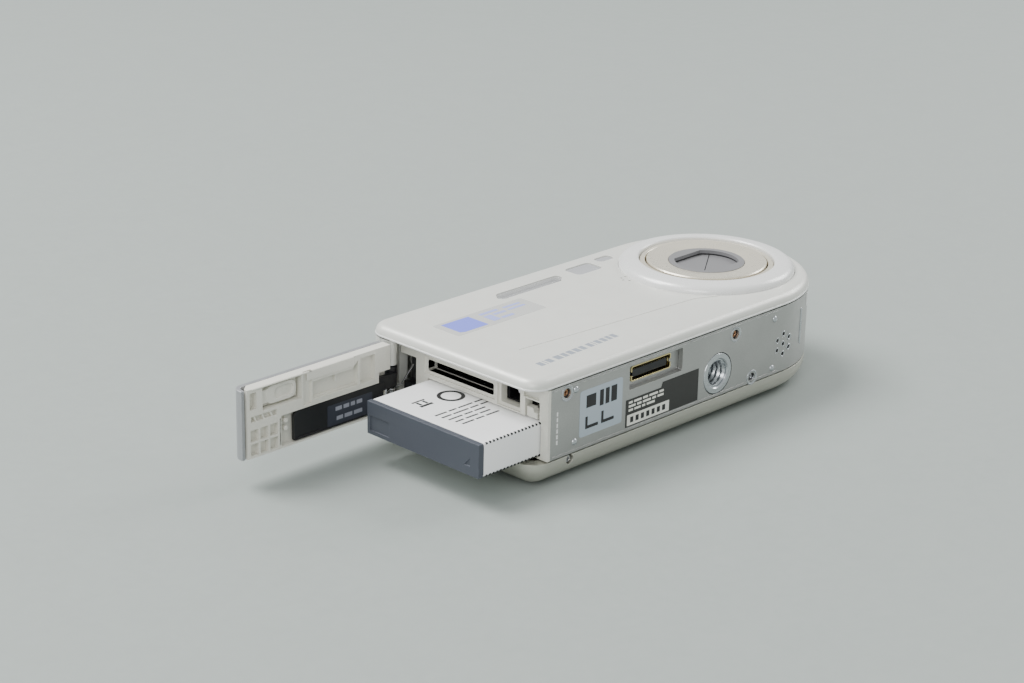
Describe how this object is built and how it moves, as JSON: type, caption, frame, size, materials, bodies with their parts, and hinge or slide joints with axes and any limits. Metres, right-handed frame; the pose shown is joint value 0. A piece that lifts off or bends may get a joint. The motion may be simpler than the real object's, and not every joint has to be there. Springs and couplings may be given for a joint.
{
  "type": "compact digital camera",
  "caption": "Compact digital camera on its back, battery door open and battery part drawn out, with a retracting lens, barrier blades and working controls.",
  "frame": {"origin": "on the outer face of the display window, which the camera rests on, midway along and across the casing", "axes": "+Z the way the lens points, +X from the battery door towards the lens end, +Y towards the camera's top"},
  "size_m": [0.1506, 0.0527, 0.0271],
  "materials": {
    "front_metal": "satin silver",
    "plate_metal": "fine matt grey",
    "back_metal": "satin, slightly warm grey",
    "top_metal": "satin silver",
    "ring_metal": "polished",
    "barrel_metal": "satin champagne",
    "lens_grey": "fine matt grey",
    "ivory_plastic": "moulded",
    "black_plastic": "moulded",
    "silver_button": "satin silver",
    "battery_white": "printed sleeve",
    "battery_slate": "moulded",
    "clear_window": "clear",
    "lens_glass": "coated",
    "display_glass": "dark, glossy",
    "steel": "bright",
    "zinc": "plated",
    "gold_contact": "plated",
    "board_green": "lacquered",
    "capacitor_black": "sleeved"
  },
  "bodies": {
    "camera_body": {"af_lamp_lens": "clear_window", "back_cover": "back_metal", "battery_bay": "ivory_plastic", "battery_terminals": "gold_contact", "bottom_plate": "plate_metal", "card_slot": "steel", "case_screw_1": "steel", "case_screw_2": "steel", "case_screw_3": "steel", "case_screw_4": "steel", "connector_core": "black_plastic", "connector_shell": "gold_contact", "dc_jack": "black_plastic", "end_frame": "ivory_plastic", "flash_capacitor": "capacitor_black", "flash_reflector": "steel", "flash_window": "clear_window", "front_panel": "front_metal", "hinge_block": "black_plastic", "hinge_pin": "steel", "hinge_spring": "steel", "image_sensor": "black_plastic", "lcd_panel": "steel", "lcd_window": "display_glass", "lens_housing": "black_plastic", "lens_ring": "ring_metal", "main_board": "board_green", "microphone": "black_plastic", "speaker": "black_plastic", "top_cover": "top_metal", "tripod_socket": "zinc", "viewfinder_block": "black_plastic", "viewfinder_eyepiece": "clear_window", "viewfinder_window": "clear_window", "zoom_motor": "steel"},
    "door_arm": {"hinge_arm": "black_plastic"},
    "door_cover": {"door_skin": "front_metal", "door_slider": "ivory_plastic"},
    "jack_flap": {"jack_cover": "ivory_plastic"},
    "battery": {"battery_pack": "battery_white", "battery_cap": "battery_slate"},
    "lock_lever": {"battery_lock": "ivory_plastic"},
    "outer_barrel": {"barrel_1": "barrel_metal", "rear_lens": "lens_glass"},
    "inner_barrel": {"barrel_2": "barrel_metal", "lens_front_disc": "lens_grey", "front_lens": "lens_glass"},
    "upper_blade": {"barrier_blade_1": "lens_grey"},
    "lower_blade": {"barrier_blade_2": "lens_grey"},
    "shutter": {"shutter_button": "silver_button"},
    "power": {"power_button": "silver_button"},
    "dial": {"mode_dial": "silver_button"},
    "rocker": {"zoom_rocker": "silver_button"},
    "gimbal": {"control_gimbal": "black_plastic"},
    "pad": {"control_pad": "silver_button"},
    "set": {"set_button": "silver_button"},
    "display": {"display_button": "silver_button"},
    "menu": {"menu_button": "silver_button"},
    "delete": {"delete_button": "silver_button"}
  },
  "joints": [
    {"name": "door_hinge", "type": "hinge", "parent": "camera_body", "child": "door_arm", "pos_m": [-0.0526, 0.0198, 0.0137], "axis": [0, 0, 1], "range_deg": [0, 90]},
    {"name": "door_lock_slide", "type": "slide", "parent": "door_arm", "child": "door_cover", "axis": [-1, 0, 0], "range_m": [0, 0.0015]},
    {"name": "jack_flap_hinge", "type": "hinge", "parent": "door_cover", "child": "jack_flap", "pos_m": [-0.09105, 0.0211, 0.0191], "axis": [0, 0, 1], "range_deg": [0, 90]},
    {"name": "battery_slide", "type": "slide", "parent": "camera_body", "child": "battery", "axis": [1, 0, 0], "range_m": [0, 0.0205]},
    {"name": "lock_lever_slide", "type": "slide", "parent": "camera_body", "child": "lock_lever", "axis": [0, 0, 1], "range_m": [0, 0.0016], "stiffness_N_per_m": 300},
    {"name": "outer_barrel_slide", "type": "slide", "parent": "camera_body", "child": "outer_barrel", "axis": [0, 0, 1], "range_m": [0, 0.009]},
    {"name": "inner_barrel_slide", "type": "slide", "parent": "outer_barrel", "child": "inner_barrel", "axis": [0, 0, 1], "range_m": [0, 0.009]},
    {"name": "upper_blade_turn", "type": "hinge", "parent": "inner_barrel", "child": "upper_blade", "pos_m": [0.03852, 0.00711, 0.025], "axis": [0, 0, -1], "range_deg": [0, 26]},
    {"name": "lower_blade_turn", "type": "hinge", "parent": "inner_barrel", "child": "lower_blade", "pos_m": [0.04012, 0.00482, 0.025], "axis": [0, 0, 1], "range_deg": [0, 26]},
    {"name": "shutter_press", "type": "slide", "parent": "camera_body", "child": "shutter", "axis": [0, -1, 0], "range_m": [0, 0.0008], "stiffness_N_per_m": 300},
    {"name": "power_press", "type": "slide", "parent": "camera_body", "child": "power", "axis": [0, -1, 0], "range_m": [0, 0.0004], "stiffness_N_per_m": 300},
    {"name": "dial_turn", "type": "hinge", "parent": "camera_body", "child": "dial", "pos_m": [-0.016, 0.0269, 0.0143], "axis": [0, 1, 0], "range_deg": [-115, 115]},
    {"name": "rocker_tilt", "type": "hinge", "parent": "camera_body", "child": "rocker", "pos_m": [-0.036, 0.015, 0.0026], "axis": [0, 1, 0], "range_deg": [-4, 4], "stiffness_Nm_per_rad": 0.05},
    {"name": "pad_tilt_x", "type": "hinge", "parent": "camera_body", "child": "gimbal", "pos_m": [-0.0355, -0.0045, 0.003], "axis": [1, 0, 0], "range_deg": [-3, 3], "stiffness_Nm_per_rad": 0.05},
    {"name": "pad_tilt_y", "type": "hinge", "parent": "gimbal", "child": "pad", "pos_m": [-0.0355, -0.0045, 0.003], "axis": [0, 1, 0], "range_deg": [-3, 3], "stiffness_Nm_per_rad": 0.05},
    {"name": "set_press", "type": "slide", "parent": "pad", "child": "set", "axis": [0, 0, 1], "range_m": [0, 0.0005], "stiffness_N_per_m": 300},
    {"name": "display_press", "type": "slide", "parent": "camera_body", "child": "display", "axis": [0, 0, 1], "range_m": [0, 0.0005], "stiffness_N_per_m": 300},
    {"name": "menu_press", "type": "slide", "parent": "camera_body", "child": "menu", "axis": [0, 0, 1], "range_m": [0, 0.0005], "stiffness_N_per_m": 300},
    {"name": "delete_press", "type": "slide", "parent": "camera_body", "child": "delete", "axis": [0, 0, 1], "range_m": [0, 0.0005], "stiffness_N_per_m": 300}
  ],
  "couplings": [
    {"joint": "battery_slide", "follows": "door_hinge", "m_per_rad": 0.01305},
    {"joint": "inner_barrel_slide", "follows": "outer_barrel_slide", "ratio": 1},
    {"joint": "upper_blade_turn", "follows": "outer_barrel_slide", "rad_per_m": 50.4},
    {"joint": "lower_blade_turn", "follows": "outer_barrel_slide", "rad_per_m": 50.4}
  ]
}
